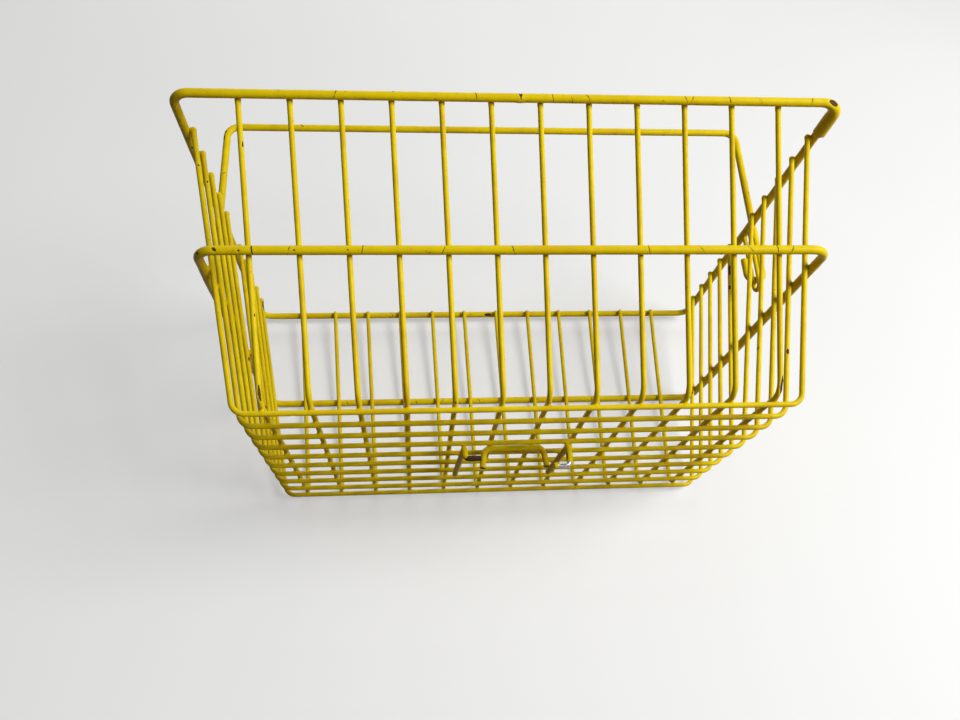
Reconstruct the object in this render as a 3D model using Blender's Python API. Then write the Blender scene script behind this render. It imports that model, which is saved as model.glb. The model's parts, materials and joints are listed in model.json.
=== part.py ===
"""Rear bicycle basket of coated steel wire, lying on its long wall as it was photographed.

The basket is laid out in its own axes and turned into the resting pose at the end:
u runs along the basket, v from the floor to the rim, and w across it. The own origin is
the middle of the floor, in the plane of the long wires' centre lines. In the resting pose
u is world X, the open mouth looks towards +Y, and the lowest wires lie on the plane Z = 0.

All sizes are metres, and a wire's size includes its coating.
"""

import math

import bpy
import numpy as np
from mathutils import Matrix, Vector

# Outside of the rim
RIM_LENGTH = 0.400
RIM_WIDTH = 0.300
# From the outside of the floor wires to the top of the rim
BASKET_DEPTH = 0.180
# Lean of the walls: how far each goes outwards per metre of depth
END_WALL_LEAN = 0.183
LONG_WALL_LEAN = 0.2075

# Frame wire: the rim, and the belt that runs round the walls below it
FRAME_WIRE = 0.0054
BELT_DEPTH = 0.0846
FRAME_CORNER_RADIUS = 0.010

# Mesh wire: each wire is one long U, from the rim down a wall, over the floor and up again
MESH_WIRE = 0.0033
WELD_GAP = 0.0003
TIP_PAST_RIM_CENTRE = 0.0006

CROSS_WIRES = 12
# From the frame's end line, at that depth, to the outermost cross wire
CROSS_MARGIN_AT_RIM = 0.0364
CROSS_MARGIN_AT_FLOOR = 0.0201
CROSS_BEND_RADIUS = 0.010

LONG_WIRES = 10
# From the frame's long line, at that depth, to the outermost long wire
LONG_MARGIN_AT_RIM = 0.0325
LONG_MARGIN_AT_FLOOR = 0.0120
LONG_BEND_RADIUS = 0.008

# Carry handle: one wire whose ends are turned up through the loops under the rim
HANDLE_WIRE = 0.0054
HANDLE_RISE_ABOVE_RIM = 0.093
HANDLE_CORNER_RADIUS = 0.009
HANDLE_RIM_CLEARANCE = 0.0006
HANDLE_HOOK_RISE = 0.0125

# Loops that hold the handle, one hairpin of mesh wire in the middle of each end wall
LOOP_DROP = 0.051
LOOP_SIDE_CLEARANCE = 0.0005
# From the bottom of a loop up to the handle, which is free to slide along it
LOOP_SLACK = 0.0035

# Rack bracket under the floor, of one rod size: a prong staple between two hooks
RACK_ROD = 0.004
BRACKET_SHIFT = 0.002
STAPLE_WIDTH = 0.038
STAPLE_SPLAY = 0.002
STAPLE_PLACE = 0.021
STAPLE_DROP = 0.0134
STAPLE_CORNER_RADIUS = 0.005
HOOK_SPACING = 0.066
HOOK_FOOT = -0.030
HOOK_FOOT_SHIFT = -0.003
HOOK_HEAD = 0.036
LEFT_HOOK_STANDOFF = 0.0068
RIGHT_HOOK_STANDOFF = 0.0126
HOOK_TONGUE = 0.0105
HOOK_TURN = 0.0032

# Rounded tip of a cut wire: how far it stands past the last full section, and the size of
# its end, both as shares of the wire's radius
TIP_REACH = 0.5
TIP_END = 0.62

# Sides of the round sections and steps of the bends
MESH_SIDES = 8
LOOP_SIDES = 10
FRAME_SIDES = 12
BEND_STEPS = 6
CORNER_STEPS = 8

COATING_YELLOW = (0.78, 0.56, 0.012, 1.0)
COATING_ROUGHNESS = 0.34

# Worked-out sizes
FRAME_RADIUS = FRAME_WIRE / 2
MESH_RADIUS = MESH_WIRE / 2
HANDLE_RADIUS = HANDLE_WIRE / 2
RACK_RADIUS = RACK_ROD / 2
RIM_DEPTH = BASKET_DEPTH - FRAME_RADIUS - MESH_RADIUS
FRAME_TO_MESH = FRAME_RADIUS + WELD_GAP + MESH_RADIUS
CROSS_LAYER = MESH_WIRE + WELD_GAP
RACK_LAYER = -(MESH_RADIUS + WELD_GAP + RACK_RADIUS)

LEG_PLACE = RIM_LENGTH / 2 + HANDLE_RADIUS + HANDLE_RIM_CLEARANCE
LOOP_PLACE = RIM_LENGTH / 2 - FRAME_RADIUS
HOOK_TURN_RADIUS = LEG_PLACE - LOOP_PLACE
LOOP_HALF_WIDTH = HANDLE_RADIUS + LOOP_SIDE_CLEARANCE + MESH_RADIUS
LOOP_BOTTOM = RIM_DEPTH - LOOP_DROP
HINGE_DEPTH = LOOP_BOTTOM + MESH_RADIUS + LOOP_SLACK + HANDLE_RADIUS


def frame_half_length(v):
    """Half length of the frame wires' centre line, at the depth v above the floor."""
    return RIM_LENGTH / 2 - FRAME_RADIUS - END_WALL_LEAN * (RIM_DEPTH - v)


def frame_half_width(v):
    return RIM_WIDTH / 2 - FRAME_RADIUS - LONG_WALL_LEAN * (RIM_DEPTH - v)


def mesh_half_length(v):
    """Where an end wall's wires run: inside the frame wires and square to the leaning wall."""
    return frame_half_length(v) - FRAME_TO_MESH * math.hypot(1, END_WALL_LEAN)


def mesh_half_width(v):
    return frame_half_width(v) - FRAME_TO_MESH * math.hypot(1, LONG_WALL_LEAN)


def rounded_corner(before, corner, after, radius, steps):
    """Points of the arc that rounds one corner, from tangent point to tangent point."""
    into = (before - corner).normalized()
    out = (after - corner).normalized()
    half_angle = into.angle(out) / 2
    centre = corner + (into + out).normalized() * (radius / math.sin(half_angle))
    start = corner + into * (radius / math.tan(half_angle)) - centre
    axis = out.cross(into).normalized()
    sweep = math.pi - 2 * half_angle
    turns = [Matrix.Rotation(sweep * i / steps, 3, axis) for i in range(steps + 1)]
    return [centre + turn @ start for turn in turns]


def rounded_path(corners, radius, steps, closed=False):
    """The line through the corners, each of them rounded. An open line keeps its two ends."""
    points = [Vector(corner) for corner in corners]
    count = len(points)
    path = [] if closed else [points[0]]
    for i in range(count) if closed else range(1, count - 1):
        before = points[i - 1]
        after = points[(i + 1) % count]
        path += rounded_corner(before, points[i], after, radius, steps)
    return path if closed else path + [points[-1]]


def section_frames(path, flat_towards, closed):
    """At each point of the path, two directions across it, turned as little as possible."""
    count = len(path)
    side = Vector(flat_towards)
    frames = []
    for i, point in enumerate(path):
        ahead = path[(i + 1) % count] if closed or i + 1 < count else point
        behind = path[i - 1] if closed or i else point
        along = (ahead - behind).normalized()
        side = (side - along * side.dot(along)).normalized()
        frames.append((side, along.cross(side)))
    return frames


def rod_mesh(name, path, radius, sides, flat_towards, closed=False):
    """A rod of polygonal section, measured across its flats, with a rounded tip at open ends."""
    frames = section_frames(path, flat_towards, closed)
    sections = [(point, frame, 1.0) for point, frame in zip(path, frames)]
    if not closed:
        reach = radius * TIP_REACH
        first_tip = path[0] + (path[0] - path[1]).normalized() * reach
        last_tip = path[-1] + (path[-1] - path[-2]).normalized() * reach
        sections.insert(0, (first_tip, frames[0], TIP_END))
        sections.append((last_tip, frames[-1], TIP_END))
    corner_radius = radius / math.cos(math.pi / sides)
    vertices = []
    for point, (side, across), scale in sections:
        for k in range(sides):
            angle = 2 * math.pi * (k + 0.5) / sides
            outwards = side * math.cos(angle) + across * math.sin(angle)
            vertices.append(point + outwards * corner_radius * scale)
    faces = []
    rows = len(sections)
    for row in range(rows if closed else rows - 1):
        here = row * sides
        there = (row + 1) % rows * sides
        for k in range(sides):
            beside = (k + 1) % sides
            faces.append((here + k, here + beside, there + beside, there + k))
    if not closed:
        faces.append(tuple(reversed(range(sides))))
        faces.append(tuple(range((rows - 1) * sides, rows * sides)))
    mesh = bpy.data.meshes.new(name)
    mesh.from_pydata(vertices, [], faces)
    mesh.update()
    mesh.polygons.foreach_set("use_smooth", [len(face) == 4 for face in faces])
    return mesh


def material(name, colour, roughness, metallic):
    made = bpy.data.materials.new(name)
    made.use_nodes = True
    shader = made.node_tree.nodes["Principled BSDF"]
    shader.inputs["Base Color"].default_value = colour
    shader.inputs["Roughness"].default_value = roughness
    shader.inputs["Metallic"].default_value = metallic
    return made


def add_rod(name, path, radius, sides, flat_towards, closed=False, origin=(0, 0, 0)):
    """One wire of the basket as its own object. Its origin is given in the own axes."""
    origin = Vector(origin)
    path = [Vector(point) - origin for point in path]
    mesh = rod_mesh(name, path, radius, sides, flat_towards, closed)
    mesh.materials.append(material(name, COATING_YELLOW, COATING_ROUGHNESS, 0.0))
    rod = bpy.data.objects.new(name, mesh)
    rod.matrix_world = Matrix.Translation(origin)
    bpy.context.scene.collection.objects.link(rod)
    return rod


def frame_ring(name, v):
    """A rounded rectangle of frame wire round the outside of the mesh."""
    half_length = frame_half_length(v)
    half_width = frame_half_width(v)
    signs = ((1, 1), (-1, 1), (-1, -1), (1, -1))
    corners = [(su * half_length, v, sw * half_width) for su, sw in signs]
    path = rounded_path(corners, FRAME_CORNER_RADIUS, CORNER_STEPS, closed=True)
    return add_rod(name, path, FRAME_RADIUS, FRAME_SIDES, (0, 1, 0), closed=True)


def cross_wire(index):
    """A wire across the basket: down one long wall, over the floor and up the other."""
    share = 2 * index / (CROSS_WIRES - 1) - 1
    tip_depth = RIM_DEPTH + TIP_PAST_RIM_CENTRE
    rim_place = share * (frame_half_length(RIM_DEPTH) - CROSS_MARGIN_AT_RIM)
    floor_place = share * (frame_half_length(0) - CROSS_MARGIN_AT_FLOOR)
    tip = (rim_place, tip_depth, mesh_half_width(tip_depth))
    bend = (floor_place, CROSS_LAYER, mesh_half_width(CROSS_LAYER))
    corners = (tip, bend, (*bend[:2], -bend[2]), (*tip[:2], -tip[2]))
    path = rounded_path(corners, CROSS_BEND_RADIUS, BEND_STEPS)
    name = f"cross_wire_{index + 1:02d}"
    return add_rod(name, path, MESH_RADIUS, MESH_SIDES, (1, 0, 0))


def long_wire(index):
    """A wire along the basket. The two middle ones part at the rim, to make room for a loop.

    Over the floor the wires are evenly spaced. At the rim one place is left empty in the middle.
    """
    step = index - (LONG_WIRES - 1) / 2
    rim_share = (step + math.copysign(0.5, step)) / (LONG_WIRES / 2)
    floor_share = step / ((LONG_WIRES - 1) / 2)
    tip_depth = RIM_DEPTH + TIP_PAST_RIM_CENTRE
    rim_place = rim_share * (frame_half_width(RIM_DEPTH) - LONG_MARGIN_AT_RIM)
    floor_place = floor_share * (frame_half_width(0) - LONG_MARGIN_AT_FLOOR)
    tip = (mesh_half_length(tip_depth), tip_depth, rim_place)
    bend = (mesh_half_length(0), 0, floor_place)
    corners = (tip, bend, (-bend[0], *bend[1:]), (-tip[0], *tip[1:]))
    path = rounded_path(corners, LONG_BEND_RADIUS, BEND_STEPS)
    name = f"long_wire_{index + 1:02d}"
    return add_rod(name, path, MESH_RADIUS, MESH_SIDES, (0, 0, 1))


def handle_hook(side):
    """Corners of one end of the handle: inner tip, then the turn under the rim."""
    inner = side * (LOOP_PLACE - HOOK_TURN_RADIUS)
    outer = side * LEG_PLACE
    tip = (inner, HINGE_DEPTH + HOOK_TURN_RADIUS + HANDLE_HOOK_RISE, 0)
    return tip, (inner, HINGE_DEPTH, 0), (outer, HINGE_DEPTH, 0)


def carry_handle():
    """The handle, with its origin on the axis on which it swings, through both loops."""
    tip, inner, outer = handle_hook(1)
    top = RIM_DEPTH + HANDLE_RISE_ABOVE_RIM
    shoulder = (LEG_PLACE, top, 0)
    middle = (0, top, 0)
    end = rounded_path((tip, inner, outer, shoulder), HOOK_TURN_RADIUS, CORNER_STEPS)
    shoulder_arc = rounded_path((outer, shoulder, middle), HANDLE_CORNER_RADIUS, CORNER_STEPS)
    half = end[:-1] + shoulder_arc[1:-1]
    other_half = [Vector((-point.x, point.y, point.z)) for point in reversed(half)]
    hinge = (0, HINGE_DEPTH, 0)
    return add_rod(
        "carry_handle", half + other_half, HANDLE_RADIUS, FRAME_SIDES, (0, 0, 1), origin=hinge
    )


def handle_loop(name, side):
    """A hairpin under the rim, which keeps one end of the handle in place."""
    top = RIM_DEPTH - FRAME_RADIUS - WELD_GAP - MESH_RADIUS * TIP_REACH
    place = side * LOOP_PLACE
    signs = ((1, top), (1, LOOP_BOTTOM), (-1, LOOP_BOTTOM), (-1, top))
    corners = [(place, depth, sign * LOOP_HALF_WIDTH) for sign, depth in signs]
    path = rounded_path(corners, LOOP_HALF_WIDTH, CORNER_STEPS)
    return add_rod(name, path, MESH_RADIUS, LOOP_SIDES, (1, 0, 0))


def rack_staple():
    """A U on the underside: its bar crosses the cross wires, and its two prongs stand out."""
    half = STAPLE_WIDTH / 2
    foot = half + STAPLE_SPLAY
    bar_v = CROSS_LAYER - MESH_RADIUS - WELD_GAP - RACK_RADIUS
    low_v = bar_v - STAPLE_DROP
    signs = ((-foot, low_v), (-half, bar_v), (half, bar_v), (foot, low_v))
    corners = [(BRACKET_SHIFT + place, v, STAPLE_PLACE) for place, v in signs]
    path = rounded_path(corners, STAPLE_CORNER_RADIUS, CORNER_STEPS)
    return add_rod("rack_staple", path, RACK_RADIUS, FRAME_SIDES, (1, 0, 0))


def rack_hook(name, side, standoff):
    """A rod along the underside, turned out at its head and then in, to a tongue."""
    place = BRACKET_SHIFT + side * HOOK_SPACING / 2
    low = RACK_LAYER - standoff
    foot = (place + HOOK_FOOT_SHIFT, RACK_LAYER, HOOK_FOOT)
    head = (place, RACK_LAYER, HOOK_HEAD)
    bend = (place, low, HOOK_HEAD)
    tongue = (place - side * HOOK_TONGUE, low, HOOK_HEAD)
    path = rounded_path((foot, head, bend, tongue), HOOK_TURN, BEND_STEPS)
    return add_rod(name, path, RACK_RADIUS, FRAME_SIDES, (1, 0, 0))


def resting_lean():
    """Turn about X that lays the basket on its belt and on the bends of the cross wires."""
    belt_w = -frame_half_width(BELT_DEPTH)
    half_turn = (math.pi / 2 - math.atan(LONG_WALL_LEAN)) / 2
    bend_v = CROSS_LAYER + CROSS_BEND_RADIUS
    bend_w = CROSS_BEND_RADIUS * math.tan(half_turn) - mesh_half_width(CROSS_LAYER)
    along = BELT_DEPTH - bend_v
    down = belt_w - bend_w
    drop = FRAME_RADIUS - CROSS_BEND_RADIUS - MESH_RADIUS
    return math.asin(drop / math.hypot(along, down)) - math.atan2(down, along)


def lay_down(rods):
    """Turns the basket into its resting pose, centred in plan over the world origin."""
    turn = Matrix.Rotation(resting_lean(), 4, "X")
    corners = [turn @ rod.matrix_world @ vertex.co for rod in rods for vertex in rod.data.vertices]
    places = np.array(corners)
    lowest = places.min(axis=0)
    highest = places.max(axis=0)
    shift = Matrix.Translation((0, -(lowest[1] + highest[1]) / 2, -lowest[2]))
    for rod in rods:
        rod.matrix_world = shift @ turn @ rod.matrix_world


def build():
    for old in list(bpy.data.objects):
        bpy.data.objects.remove(old, do_unlink=True)
    rods = [frame_ring("rim_ring", RIM_DEPTH), frame_ring("belt_ring", BELT_DEPTH)]
    rods += [cross_wire(index) for index in range(CROSS_WIRES)]
    rods += [long_wire(index) for index in range(LONG_WIRES)]
    rods.append(carry_handle())
    rods.append(handle_loop("handle_loop_left", -1))
    rods.append(handle_loop("handle_loop_right", 1))
    rods.append(rack_staple())
    rods.append(rack_hook("rack_hook_left", -1, LEFT_HOOK_STANDOFF))
    rods.append(rack_hook("rack_hook_right", 1, RIGHT_HOOK_STANDOFF))
    lay_down(rods)


build()
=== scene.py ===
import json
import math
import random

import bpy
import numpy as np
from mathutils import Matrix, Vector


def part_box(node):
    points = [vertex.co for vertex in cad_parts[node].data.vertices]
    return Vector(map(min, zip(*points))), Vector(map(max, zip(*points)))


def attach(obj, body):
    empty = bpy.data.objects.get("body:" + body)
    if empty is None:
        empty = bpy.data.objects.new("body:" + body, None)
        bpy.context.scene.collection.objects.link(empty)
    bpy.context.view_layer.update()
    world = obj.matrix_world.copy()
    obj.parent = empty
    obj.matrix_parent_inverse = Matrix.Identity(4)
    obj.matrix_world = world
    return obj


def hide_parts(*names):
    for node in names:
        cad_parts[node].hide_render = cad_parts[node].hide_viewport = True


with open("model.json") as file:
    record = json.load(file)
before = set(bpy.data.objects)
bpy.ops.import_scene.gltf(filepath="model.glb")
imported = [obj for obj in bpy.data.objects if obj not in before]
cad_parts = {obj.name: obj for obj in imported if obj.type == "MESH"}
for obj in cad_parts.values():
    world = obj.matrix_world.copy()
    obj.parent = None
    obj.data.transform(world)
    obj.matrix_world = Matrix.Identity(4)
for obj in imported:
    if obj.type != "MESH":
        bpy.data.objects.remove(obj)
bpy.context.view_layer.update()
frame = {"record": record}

# Looks of a coated wire basket for a bicycle's rear rack.
#
# Each wire of the frame is replaced by a finer one on the same centre line. Its coating is round,
# runs into its neighbours in soft fillets where the wires are welded, and is cracked and chipped.
# All sizes are metres. The basket's own axes are u along it, v from the floor to the rim and w
# across it, with the own origin in the middle of the floor wires' centre plane.

# Layout of the solids, repeated
RIM_LENGTH = 0.400
RIM_WIDTH = 0.300
BASKET_DEPTH = 0.180
END_WALL_LEAN = 0.183
LONG_WALL_LEAN = 0.2075
FRAME_WIRE = 0.0054
BELT_DEPTH = 0.0846
FRAME_CORNER_RADIUS = 0.010
MESH_WIRE = 0.0033
WELD_GAP = 0.0003
TIP_PAST_RIM_CENTRE = 0.0006
CROSS_WIRES = 12
CROSS_MARGIN_AT_RIM = 0.0364
CROSS_MARGIN_AT_FLOOR = 0.0201
CROSS_BEND_RADIUS = 0.010
LONG_WIRES = 10
LONG_MARGIN_AT_RIM = 0.0325
LONG_MARGIN_AT_FLOOR = 0.0120
LONG_BEND_RADIUS = 0.008
HANDLE_WIRE = 0.0054
HANDLE_RISE_ABOVE_RIM = 0.093
HANDLE_CORNER_RADIUS = 0.009
HANDLE_RIM_CLEARANCE = 0.0006
HANDLE_HOOK_RISE = 0.0125
LOOP_DROP = 0.051
LOOP_SIDE_CLEARANCE = 0.0005
LOOP_SLACK = 0.0035
RACK_ROD = 0.004
BRACKET_SHIFT = 0.002
STAPLE_WIDTH = 0.038
STAPLE_SPLAY = 0.002
STAPLE_PLACE = 0.021
STAPLE_DROP = 0.0134
STAPLE_CORNER_RADIUS = 0.005
HOOK_SPACING = 0.066
HOOK_FOOT = -0.030
HOOK_FOOT_SHIFT = -0.003
HOOK_HEAD = 0.036
LEFT_HOOK_STANDOFF = 0.0068
RIGHT_HOOK_STANDOFF = 0.0126
HOOK_TONGUE = 0.0105
HOOK_TURN = 0.0032

FRAME_RADIUS = FRAME_WIRE / 2
MESH_RADIUS = MESH_WIRE / 2
HANDLE_RADIUS = HANDLE_WIRE / 2
RACK_RADIUS = RACK_ROD / 2
RIM_DEPTH = BASKET_DEPTH - FRAME_RADIUS - MESH_RADIUS
FRAME_TO_MESH = FRAME_RADIUS + WELD_GAP + MESH_RADIUS
CROSS_LAYER = MESH_WIRE + WELD_GAP
RACK_LAYER = -(MESH_RADIUS + WELD_GAP + RACK_RADIUS)
STAPLE_LAYER = CROSS_LAYER - MESH_RADIUS - WELD_GAP - RACK_RADIUS
LEG_PLACE = RIM_LENGTH / 2 + HANDLE_RADIUS + HANDLE_RIM_CLEARANCE
LOOP_PLACE = RIM_LENGTH / 2 - FRAME_RADIUS
HOOK_TURN_RADIUS = LEG_PLACE - LOOP_PLACE
LOOP_HALF_WIDTH = HANDLE_RADIUS + LOOP_SIDE_CLEARANCE + MESH_RADIUS
# A hair less than half the width, so that the hairpin's two bends don't end in the same point
LOOP_TURN = LOOP_HALF_WIDTH * 0.999
LOOP_BOTTOM = RIM_DEPTH - LOOP_DROP
HINGE_DEPTH = LOOP_BOTTOM + MESH_RADIUS + LOOP_SLACK + HANDLE_RADIUS
# Sides in the names of pieces, and their signs along u
SIDES_BY_NAME = (("left", -1), ("right", 1))

# Fineness of the wires: sides of a section, and steps along it where little and much happens
MESH_SIDES = 16
FRAME_SIDES = 24
ARC_STEP_DEGREES = 4.0
PLAIN_STEP = 0.0030
BEND_STEP = 0.0010
WELD_STEP = 0.0006
CHIP_STEP = 0.0003
SAMPLE_STEP = 0.0010
# A line is bent where it turns by more than this over one bend step, in radians
BENT_FROM = 0.02
# Two unit directions are too much alike where their product is larger than this
NEARLY_PARALLEL = 0.9
# Rings of a rounded wire end, in degrees from its last full section
DOME_ANGLES = (15, 30, 45, 60, 75, 86)
# Stands for the distance to a wire that is nowhere near
FAR_AWAY = 1.0

# How far a wire wanders sideways, and the half waves that it does so in
WIRE_WAVE = 0.00030
WAVE_TURNS = (1, 2, 3, 5)

# Coating at the welds: how wide its fillets are, how far they may rise, in how many rounds
# they grow, and how near another wire has to be
FILLET_WIDTH = 0.0017
FILLET_RISE = 0.0014
FILLET_ROUNDS = 7
WELD_REACH = 0.0030

# Coating elsewhere: its thickness, its unevenness as a share of the wire's radius, and the
# lengths over which that comes and goes
COATING_THICKNESS = 0.00035
UNEVENNESS = 0.030
UNEVEN_PERIODS = (0.060, 0.023, 0.011, 0.006)

# Ends: a bead of coating hangs on each end of a mesh wire, and the other wires are cut nearly
# flat. The swell and both rises are shares of the wire's radius.
BEAD_SWELL = 0.16
BEAD_LENGTH = 0.0045
BEAD_RISE = 1.25
CUT_RISE = 0.35

# Wear: the furthest distance from a chip that the mesh knows of, the fine rings beside a chip,
# how far rubbed steel reaches past its edge, how ragged the edge of a loose sleeve is, and the
# width and depth of a hairline crack, the depth as a share of the coating's thickness
CHIP_FAR = 0.0050
CHIP_MARGIN = 0.0010
RUB_MARGIN = 0.0008
RAGGED_EDGE = 0.0005
HAIRLINE = 0.0005
HAIRLINE_DEPTH = 0.5
# Width of a chip that goes all round a wire
ALL_ROUND = 0.0200
# The side of a wire that is outside and up as the basket lies, in its own axes
OUTSIDE_UP = (0, -0.3, 1)

# Floor: half its side, and how far it lies below the lowest wires
FLOOR_HALF = 6.0
FLOOR_DROP = 0.0002
# What the lamps look at
BASKET_MIDDLE = Vector((0, 0, 0.12))

# Camera of the photograph, with its place and directions in the basket's own axes
PHOTO_WIDTH = 960
PHOTO_FOCAL_PIXELS = 795.0
SENSOR_WIDTH_MM = 36.0
CAMERA_PLACE = Vector((-0.0633, -0.1404, 0.5174))
CAMERA_FORWARD = Vector((0.0857, 0.3756, -0.9228))
CAMERA_RIGHT = Vector((0.9962, -0.0441, 0.0745))


# Centre lines

def own_axes():
    """The basket's own axes in the world, from where the frame's two rings lie."""
    rim_low, rim_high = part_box("rim_ring")
    belt_low, belt_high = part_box("belt_ring")
    rim_centre = (rim_low + rim_high) / 2
    belt_centre = (belt_low + belt_high) / 2
    up = (rim_centre - belt_centre).normalized()
    along = Vector((1, 0, 0))
    across = along.cross(up)
    origin = rim_centre - up * RIM_DEPTH
    axes = Matrix((along, up, across)).transposed().to_4x4()
    axes.translation = origin
    return axes


def frame_half_length(v):
    return RIM_LENGTH / 2 - FRAME_RADIUS - END_WALL_LEAN * (RIM_DEPTH - v)


def frame_half_width(v):
    return RIM_WIDTH / 2 - FRAME_RADIUS - LONG_WALL_LEAN * (RIM_DEPTH - v)


def mesh_half_length(v):
    return frame_half_length(v) - FRAME_TO_MESH * math.hypot(1, END_WALL_LEAN)


def mesh_half_width(v):
    return frame_half_width(v) - FRAME_TO_MESH * math.hypot(1, LONG_WALL_LEAN)


def rounded_corner(before, corner, after, radius):
    into = (before - corner).normalized()
    out = (after - corner).normalized()
    half_angle = into.angle(out) / 2
    centre = corner + (into + out).normalized() * (radius / math.sin(half_angle))
    start = corner + into * (radius / math.tan(half_angle)) - centre
    axis = out.cross(into).normalized()
    sweep = math.pi - 2 * half_angle
    steps = max(2, round(math.degrees(sweep) / ARC_STEP_DEGREES))
    return [centre + Matrix.Rotation(sweep * i / steps, 3, axis) @ start for i in range(steps + 1)]


def rounded_path(corners, radius, closed=False):
    points = [Vector(corner) for corner in corners]
    count = len(points)
    path = [] if closed else [points[0]]
    for i in range(count) if closed else range(1, count - 1):
        path += rounded_corner(points[i - 1], points[i], points[(i + 1) % count], radius)
    return path if closed else path + [points[-1]]


def ring_path(v):
    half_length = frame_half_length(v)
    half_width = frame_half_width(v)
    signs = ((1, 1), (-1, 1), (-1, -1), (1, -1))
    corners = [(su * half_length, v, sw * half_width) for su, sw in signs]
    return rounded_path(corners, FRAME_CORNER_RADIUS, closed=True)


def cross_path(index):
    share = 2 * index / (CROSS_WIRES - 1) - 1
    tip_depth = RIM_DEPTH + TIP_PAST_RIM_CENTRE
    rim_place = share * (frame_half_length(RIM_DEPTH) - CROSS_MARGIN_AT_RIM)
    floor_place = share * (frame_half_length(0) - CROSS_MARGIN_AT_FLOOR)
    tip = (rim_place, tip_depth, mesh_half_width(tip_depth))
    bend = (floor_place, CROSS_LAYER, mesh_half_width(CROSS_LAYER))
    corners = (tip, bend, (*bend[:2], -bend[2]), (*tip[:2], -tip[2]))
    return rounded_path(corners, CROSS_BEND_RADIUS)


def long_path(index):
    step = index - (LONG_WIRES - 1) / 2
    rim_share = (step + math.copysign(0.5, step)) / (LONG_WIRES / 2)
    floor_share = step / ((LONG_WIRES - 1) / 2)
    tip_depth = RIM_DEPTH + TIP_PAST_RIM_CENTRE
    rim_place = rim_share * (frame_half_width(RIM_DEPTH) - LONG_MARGIN_AT_RIM)
    floor_place = floor_share * (frame_half_width(0) - LONG_MARGIN_AT_FLOOR)
    tip = (mesh_half_length(tip_depth), tip_depth, rim_place)
    bend = (mesh_half_length(0), 0, floor_place)
    corners = (tip, bend, (-bend[0], *bend[1:]), (-tip[0], *tip[1:]))
    return rounded_path(corners, LONG_BEND_RADIUS)


def handle_path():
    inner = LOOP_PLACE - HOOK_TURN_RADIUS
    top = RIM_DEPTH + HANDLE_RISE_ABOVE_RIM
    tip = (inner, HINGE_DEPTH + HOOK_TURN_RADIUS + HANDLE_HOOK_RISE, 0)
    shoulder = (LEG_PLACE, top, 0)
    turn = (tip, (inner, HINGE_DEPTH, 0), (LEG_PLACE, HINGE_DEPTH, 0), shoulder)
    end = rounded_path(turn, HOOK_TURN_RADIUS)
    arc = rounded_path((turn[2], shoulder, (0, top, 0)), HANDLE_CORNER_RADIUS)
    half = end[:-1] + arc[1:-1]
    return half + [Vector((-point.x, point.y, point.z)) for point in reversed(half)]


def loop_path(side):
    top = RIM_DEPTH - FRAME_RADIUS
    place = side * LOOP_PLACE
    signs = ((1, top), (1, LOOP_BOTTOM), (-1, LOOP_BOTTOM), (-1, top))
    corners = [(place, depth, sign * LOOP_HALF_WIDTH) for sign, depth in signs]
    return rounded_path(corners, LOOP_TURN)


def staple_path():
    half = STAPLE_WIDTH / 2
    foot = half + STAPLE_SPLAY
    low = STAPLE_LAYER - STAPLE_DROP
    signs = ((-foot, low), (-half, STAPLE_LAYER), (half, STAPLE_LAYER), (foot, low))
    corners = [(BRACKET_SHIFT + place, v, STAPLE_PLACE) for place, v in signs]
    return rounded_path(corners, STAPLE_CORNER_RADIUS)


def hook_corners(side):
    """A rack hook from its foot to the tip of its tongue."""
    place = BRACKET_SHIFT + side * HOOK_SPACING / 2
    low = RACK_LAYER - (RIGHT_HOOK_STANDOFF if side > 0 else LEFT_HOOK_STANDOFF)
    foot = (place + HOOK_FOOT_SHIFT, RACK_LAYER, HOOK_FOOT)
    head = (place, RACK_LAYER, HOOK_HEAD)
    bend = (place, low, HOOK_HEAD)
    tongue = (place - side * HOOK_TONGUE, low, HOOK_HEAD)
    return foot, head, bend, tongue


# A wire's line, its neighbours and its surface

def in_world(direction):
    """A direction in the basket's own axes, turned into the world."""
    return np.array(AXES.to_3x3() @ Vector(direction))


def smooth(share):
    """A soft rise from 0 to 1."""
    return share * share * (3 - 2 * share)


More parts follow.
